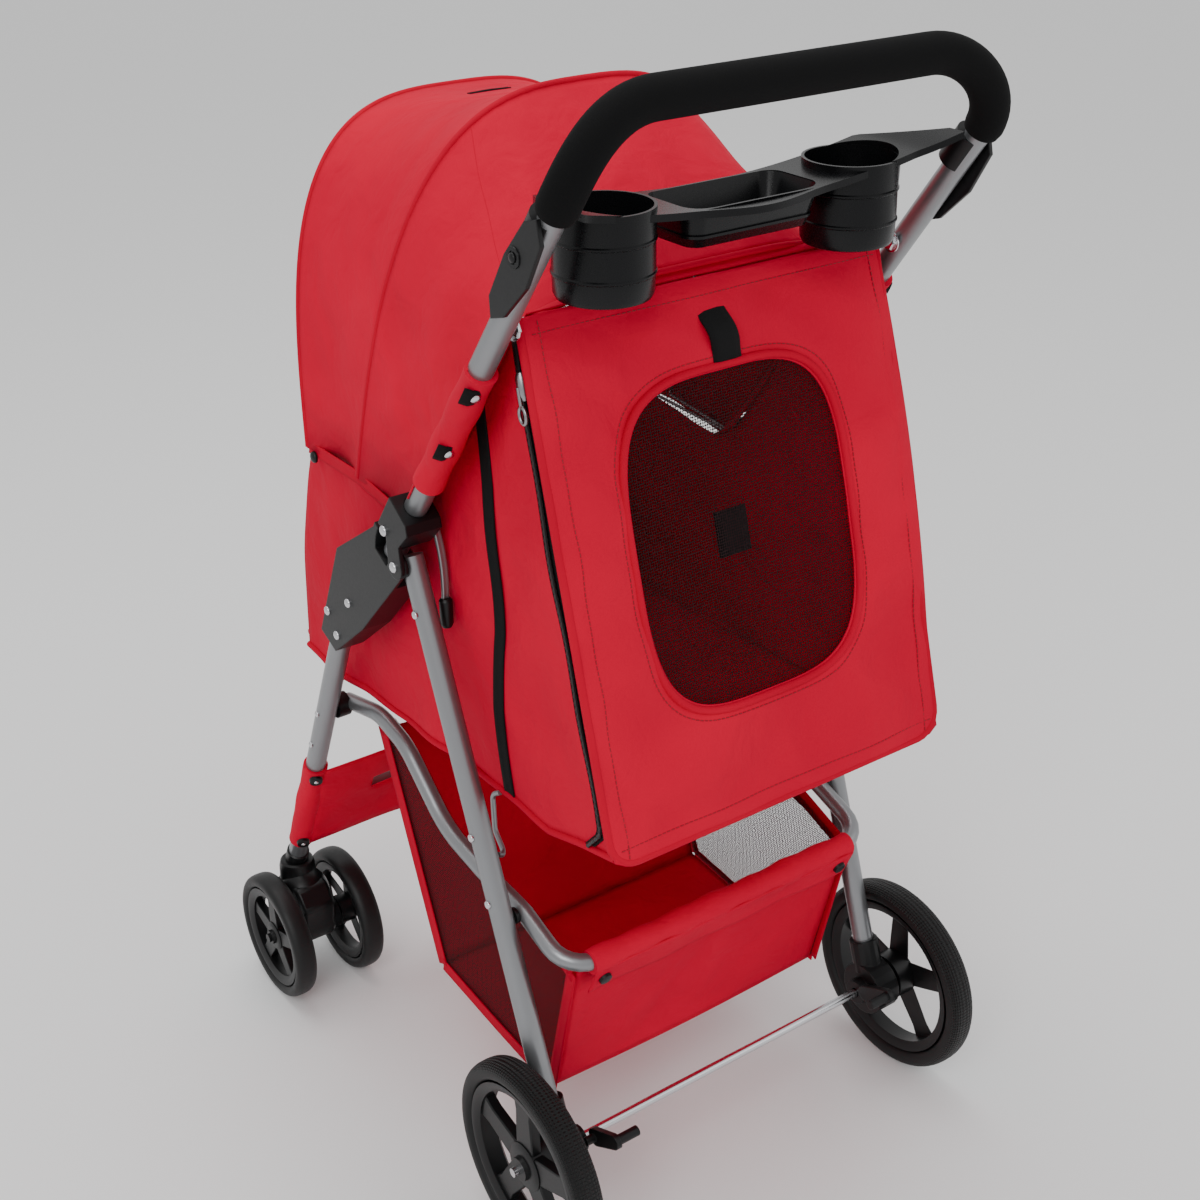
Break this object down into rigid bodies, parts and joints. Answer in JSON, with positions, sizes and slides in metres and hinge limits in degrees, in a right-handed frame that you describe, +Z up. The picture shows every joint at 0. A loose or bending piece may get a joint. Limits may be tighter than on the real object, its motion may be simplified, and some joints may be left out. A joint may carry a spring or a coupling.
{
  "type": "pet stroller",
  "caption": "Folding pet stroller: red cloth cabin with canopy and zipped rear door on a silver tube frame, twin front casters, rear wheels, basket and cup tray.",
  "frame": {"origin": "on the floor, under the middle of the whole object", "axes": "+Z up, -Y the way it travels, +Y towards the handle, +X to the pusher's left"},
  "size_m": [0.478, 0.594, 0.9762],
  "materials": {
    "silver_painted_steel_tube": "satin silver paint",
    "black_plastic_moulding": "fine moulded grain",
    "black_plastic": "fine moulded grain",
    "painted_spring_steel": "satin silver paint",
    "red_polyester_cloth": "plain woven polyester",
    "black_net": "plain woven polyester",
    "steel_rod": "bright steel",
    "black_foam_rubber": "foam rubber",
    "black_foam": "closed cell foam",
    "black_tray_moulding": "moulded, slight sheen",
    "chromed_wire": "polished",
    "red_polyester_cloth_over_board": "plain woven polyester",
    "zinc_casting": "polished",
    "spring_steel_wire": "satin silver paint"
  },
  "bodies": {
    "frame": {"front_leg_left": "silver_painted_steel_tube", "front_leg_right": "silver_painted_steel_tube", "fold_bracket_left": "black_plastic_moulding", "fold_bracket_right": "black_plastic_moulding", "front_cross_bar": "silver_painted_steel_tube", "front_band": "red_polyester_cloth", "cabin_side_left": "red_polyester_cloth", "cabin_side_right": "red_polyester_cloth", "cabin_front": "red_polyester_cloth", "cabin_floor": "red_polyester_cloth_over_board"},
    "handle": {"handle_tube": "silver_painted_steel_tube", "handle_grip": "black_foam", "tray": "black_tray_moulding", "tray_ear_left": "black_plastic", "tray_ear_right": "black_plastic", "cross_wire": "chromed_wire", "pivot_block_left": "black_plastic_moulding", "pivot_block_right": "black_plastic_moulding", "canopy_rear_section": "red_polyester_cloth"},
    "canopy_middle": {"canopy_middle_bow": "spring_steel_wire"},
    "canopy_front": {"canopy_front_bow": "spring_steel_wire", "canopy_front_section": "red_polyester_cloth", "canopy_front_panel": "black_net"},
    "rear_door": {"rear_door": "red_polyester_cloth", "rear_window": "black_net"},
    "zip": {"zip_slider": "zinc_casting"},
    "rear_legs": {"rear_leg_left": "silver_painted_steel_tube", "rear_leg_right": "silver_painted_steel_tube", "rear_axle": "steel_rod", "brake_housing_left": "black_plastic_moulding", "brake_housing_right": "black_plastic_moulding", "rear_bush_left": "black_plastic", "rear_bush_right": "black_plastic"},
    "basket": {"basket_tube": "silver_painted_steel_tube", "basket_floor": "red_polyester_cloth", "basket_front": "red_polyester_cloth", "basket_rear": "red_polyester_cloth", "basket_side_left": "black_net", "basket_side_right": "black_net"},
    "caster_left": {"caster_housing_left": "black_plastic_moulding", "caster_axle_left": "steel_rod"},
    "front_wheel_outer_left": {"front_wheel_outer_left_tyre": "black_foam_rubber", "front_wheel_outer_left_hub": "black_plastic_moulding"},
    "front_wheel_inner_left": {"front_wheel_inner_left_tyre": "black_foam_rubber", "front_wheel_inner_left_hub": "black_plastic_moulding"},
    "rear_wheel_left": {"rear_wheel_left_tyre": "black_foam_rubber", "rear_wheel_left_hub": "black_plastic_moulding"},
    "brake_lever_left": {"brake_lever_left": "black_plastic"},
    "latch_left": {"latch_left": "painted_spring_steel"},
    "caster_right": {"caster_housing_right": "black_plastic_moulding", "caster_axle_right": "steel_rod"},
    "front_wheel_outer_right": {"front_wheel_outer_right_tyre": "black_foam_rubber", "front_wheel_outer_right_hub": "black_plastic_moulding"},
    "front_wheel_inner_right": {"front_wheel_inner_right_tyre": "black_foam_rubber", "front_wheel_inner_right_hub": "black_plastic_moulding"},
    "rear_wheel_right": {"rear_wheel_right_tyre": "black_foam_rubber", "rear_wheel_right_hub": "black_plastic_moulding"},
    "brake_lever_right": {"brake_lever_right": "black_plastic"},
    "latch_right": {"latch_right": "painted_spring_steel"}
  },
  "joints": [
    {"name": "handle_fold", "type": "hinge", "parent": "frame", "child": "handle", "pos_m": [0, 0.028, 0.577], "axis": [-1, 0, 0], "range_deg": [0, 112], "deforming": ["cabin_side_left", "cabin_side_right", "cabin_front", "rear_door", "rear_window", "canopy_rear_section", "canopy_front_section", "canopy_front_panel", "basket_side_left", "basket_side_right", "basket_front", "basket_rear", "basket_floor", "front_band", "zip_slider"]},
    {"name": "rear_leg_fold", "type": "hinge", "parent": "frame", "child": "rear_legs", "pos_m": [0, 0.028, 0.577], "axis": [-1, 0, 0], "range_deg": [0, 10.5]},
    {"name": "basket_fold", "type": "hinge", "parent": "rear_legs", "child": "basket", "pos_m": [0, 0.132, 0.288], "axis": [1, 0, 0], "range_deg": [0, 32.5]},
    {"name": "canopy_fold", "type": "hinge", "parent": "handle", "child": "canopy_middle", "pos_m": [0, -0.013, 0.592], "axis": [-1, 0, 0], "range_deg": [0, 22]},
    {"name": "canopy_front_fold", "type": "hinge", "parent": "canopy_middle", "child": "canopy_front", "pos_m": [0, -0.013, 0.592], "axis": [-1, 0, 0], "range_deg": [0, 26.4]},
    {"name": "door_swing", "type": "hinge", "parent": "frame", "child": "rear_door", "pos_m": [0, 0.157, 0.806], "axis": [1, 0, 0], "range_deg": [0, 70]},
    {"name": "zip_slide", "type": "slide", "parent": "rear_door", "child": "zip", "axis": [0, 0.2676, -0.9635], "range_m": [0, 0.32]},
    {"name": "caster_swivel_left", "type": "hinge", "parent": "frame", "child": "caster_left", "pos_m": [0.188, -0.256, 0.1], "axis": [0, 0, 1], "continuous": true},
    {"name": "front_wheel_outer_spin_left", "type": "hinge", "parent": "caster_left", "child": "front_wheel_outer_left", "pos_m": [0.226, -0.232, 0.065], "axis": [1, 0, 0], "continuous": true},
    {"name": "front_wheel_inner_spin_left", "type": "hinge", "parent": "caster_left", "child": "front_wheel_inner_left", "pos_m": [0.15, -0.232, 0.065], "axis": [1, 0, 0], "continuous": true},
    {"name": "rear_wheel_spin_left", "type": "hinge", "parent": "rear_legs", "child": "rear_wheel_left", "pos_m": [0.209, 0.204, 0.093], "axis": [1, 0, 0], "continuous": true},
    {"name": "brake_press_left", "type": "hinge", "parent": "rear_legs", "child": "brake_lever_left", "pos_m": [0.16, 0.222, 0.106], "axis": [-1, 0, 0], "range_deg": [0, 22]},
    {"name": "latch_release_left", "type": "hinge", "parent": "rear_legs", "child": "latch_left", "pos_m": [0.169, 0.044, 0.533], "axis": [-1, 0, 0], "range_deg": [0, 18]},
    {"name": "caster_swivel_right", "type": "hinge", "parent": "frame", "child": "caster_right", "pos_m": [-0.188, -0.256, 0.1], "axis": [0, 0, 1], "continuous": true},
    {"name": "front_wheel_outer_spin_right", "type": "hinge", "parent": "caster_right", "child": "front_wheel_outer_right", "pos_m": [-0.226, -0.232, 0.065], "axis": [1, 0, 0], "continuous": true},
    {"name": "front_wheel_inner_spin_right", "type": "hinge", "parent": "caster_right", "child": "front_wheel_inner_right", "pos_m": [-0.15, -0.232, 0.065], "axis": [1, 0, 0], "continuous": true},
    {"name": "rear_wheel_spin_right", "type": "hinge", "parent": "rear_legs", "child": "rear_wheel_right", "pos_m": [-0.209, 0.204, 0.093], "axis": [1, 0, 0], "continuous": true},
    {"name": "brake_press_right", "type": "hinge", "parent": "rear_legs", "child": "brake_lever_right", "pos_m": [-0.16, 0.222, 0.106], "axis": [-1, 0, 0], "range_deg": [0, 22]},
    {"name": "latch_release_right", "type": "hinge", "parent": "rear_legs", "child": "latch_right", "pos_m": [-0.169, 0.044, 0.533], "axis": [-1, 0, 0], "range_deg": [0, 18]}
  ],
  "couplings": [
    {"joint": "rear_leg_fold", "follows": "handle_fold", "ratio": 0.08839},
    {"joint": "basket_fold", "follows": "handle_fold", "ratio": 0.27679},
    {"joint": "canopy_front_fold", "follows": "canopy_fold", "ratio": 1.18}
  ]
}
